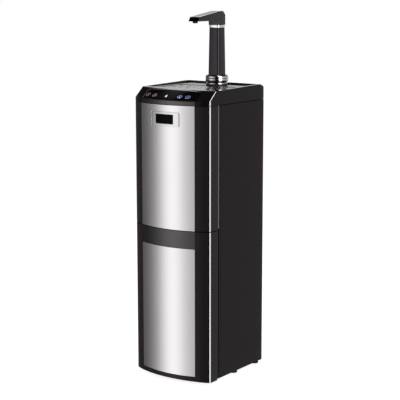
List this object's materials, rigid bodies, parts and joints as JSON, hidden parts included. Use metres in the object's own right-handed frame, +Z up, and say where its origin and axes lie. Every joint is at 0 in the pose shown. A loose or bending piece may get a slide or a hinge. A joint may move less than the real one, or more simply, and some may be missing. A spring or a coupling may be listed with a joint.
{
  "type": "bottom load water cooler",
  "caption": "Free-standing water cooler with a bottle bay behind a bowed door, steel inserts, push-button control strip, drip tray and swivelling tower spout.",
  "frame": {"origin": "on the floor, under the centre of the overall box", "axes": "+Z up, front towards -Y, +X to the right seen from the front"},
  "size_m": [0.334, 0.3802, 1.3103],
  "materials": {
    "frame_black": "satin black moulding",
    "side_sheet": "dark satin paint",
    "steel_sheet": "finely brushed",
    "deck_black": "polished black",
    "panel_black": "high gloss black",
    "badge_metal": "bright satin metal",
    "tray_black": "polished black",
    "tower_black": "satin black",
    "bright_trim": "polished",
    "collar_metal": "brushed, bright",
    "button_grey": "gloss",
    "button_red": "gloss",
    "button_blue": "gloss",
    "lens_clear": "frosted",
    "liner_grey": "matt light grey",
    "door_liner_grey": "matt light grey",
    "seal_rubber": "matt",
    "foot_rubber": "matt",
    "zinc_sheet": "zinc plated",
    "hinge_steel": "zinc plated",
    "magnet_dark": "matt",
    "condenser_black": "satin black",
    "compressor_black": "satin black",
    "tank_steel": "plain steel",
    "foam_white": "foam",
    "pump_grey": "matt",
    "hose_clear": "silicone",
    "probe_white": "smooth",
    "box_black": "matt",
    "copper": "bare copper",
    "switch_black": "matt",
    "switch_red": "gloss",
    "switch_green": "gloss",
    "screw_steel": "plated"
  },
  "bodies": {
    "cabinet": {"base_pan": "zinc_sheet", "levelling_feet": "foot_rubber", "side_panel_right": "side_sheet", "side_panel_left": "side_sheet", "rear_panel": "zinc_sheet", "mid_shelf": "zinc_sheet", "bay_frame": "frame_black", "bay_liner": "liner_grey", "bay_floor": "liner_grey", "hinge_bracket_lower": "hinge_steel", "hinge_bracket_upper": "hinge_steel", "magnet_catch": "magnet_dark", "upper_front_panel": "frame_black", "upper_steel_panel": "steel_sheet", "badge_plate": "badge_metal", "badge_window": "panel_black", "top_cover": "deck_black", "crown_band": "steel_sheet", "control_panel": "panel_black", "status_lens": "lens_clear", "control_board": "box_black", "tower_gasket": "seal_rubber", "tower_base_ring": "tower_black", "tower_locknut": "box_black", "condenser_coil": "condenser_black", "condenser_wires": "condenser_black", "compressor": "compressor_black", "compressor_grommets": "foot_rubber", "cold_tank": "tank_steel", "tank_jacket": "foam_white", "hot_tank": "tank_steel", "water_pump": "pump_grey", "probe_hose": "hose_clear", "bottle_probe": "probe_white", "control_box": "box_black", "filter_drier": "copper", "inlet_gland": "switch_black", "switch_plate": "switch_black", "drain_cap": "probe_white", "cabinet_screws": "screw_steel"},
    "door": {"door_frame": "frame_black", "door_steel_panel": "steel_sheet", "door_band": "steel_sheet", "door_liner": "door_liner_grey", "door_gasket": "seal_rubber", "door_strike": "hinge_steel"},
    "tray": {"drip_tray": "tray_black"},
    "grille": {"drip_grille": "tray_black"},
    "tower": {"tower_collar": "collar_metal", "tower_column": "tower_black", "column_ring": "bright_trim", "spout_head": "tower_black", "spout_nozzle": "tower_black", "tower_tubes": "hose_clear"},
    "heat_button": {"heat_button": "button_grey"},
    "hot_button": {"hot_button": "button_red"},
    "room_button": {"room_button": "panel_black"},
    "cold_button": {"cold_button": "button_blue"},
    "cold_switch": {"cold_switch": "switch_green"},
    "hot_switch": {"hot_switch": "switch_red"}
  },
  "joints": [
    {"name": "door_hinge", "type": "hinge", "parent": "cabinet", "child": "door", "pos_m": [-0.159, -0.1049, 0.28], "axis": [0, 0, 1], "range_deg": [-105, 0]},
    {"name": "tray_lift", "type": "slide", "parent": "cabinet", "child": "tray", "axis": [0, 0, 1], "range_m": [0, 0.06]},
    {"name": "grille_lift", "type": "slide", "parent": "tray", "child": "grille", "axis": [0, 0, 1], "range_m": [0, 0.06]},
    {"name": "tower_swivel", "type": "hinge", "parent": "cabinet", "child": "tower", "pos_m": [0, 0.1306, 1.05], "axis": [0, 0, 1], "range_deg": [-60, 60]},
    {"name": "heat_button_press", "type": "slide", "parent": "cabinet", "child": "heat_button", "axis": [0.117, 0.4893, -0.8642], "range_m": [0, 0.0012], "stiffness_N_per_m": 600, "springref_m": -0.001},
    {"name": "hot_button_press", "type": "slide", "parent": "cabinet", "child": "hot_button", "axis": [0.069, 0.4558, -0.8874], "range_m": [0, 0.0012], "stiffness_N_per_m": 600, "springref_m": -0.001},
    {"name": "room_button_press", "type": "slide", "parent": "cabinet", "child": "room_button", "axis": [-0.0522, 0.447, -0.893], "range_m": [0, 0.0012], "stiffness_N_per_m": 600, "springref_m": -0.001},
    {"name": "cold_button_press", "type": "slide", "parent": "cabinet", "child": "cold_button", "axis": [-0.0914, 0.4702, -0.8778], "range_m": [0, 0.0012], "stiffness_N_per_m": 600, "springref_m": -0.001},
    {"name": "cold_switch_rock", "type": "hinge", "parent": "cabinet", "child": "cold_switch", "pos_m": [0.084, 0.164, 0.835], "axis": [1, 0, 0], "range_deg": [0, 12]},
    {"name": "hot_switch_rock", "type": "hinge", "parent": "cabinet", "child": "hot_switch", "pos_m": [0.112, 0.164, 0.835], "axis": [1, 0, 0], "range_deg": [0, 12]}
  ]
}
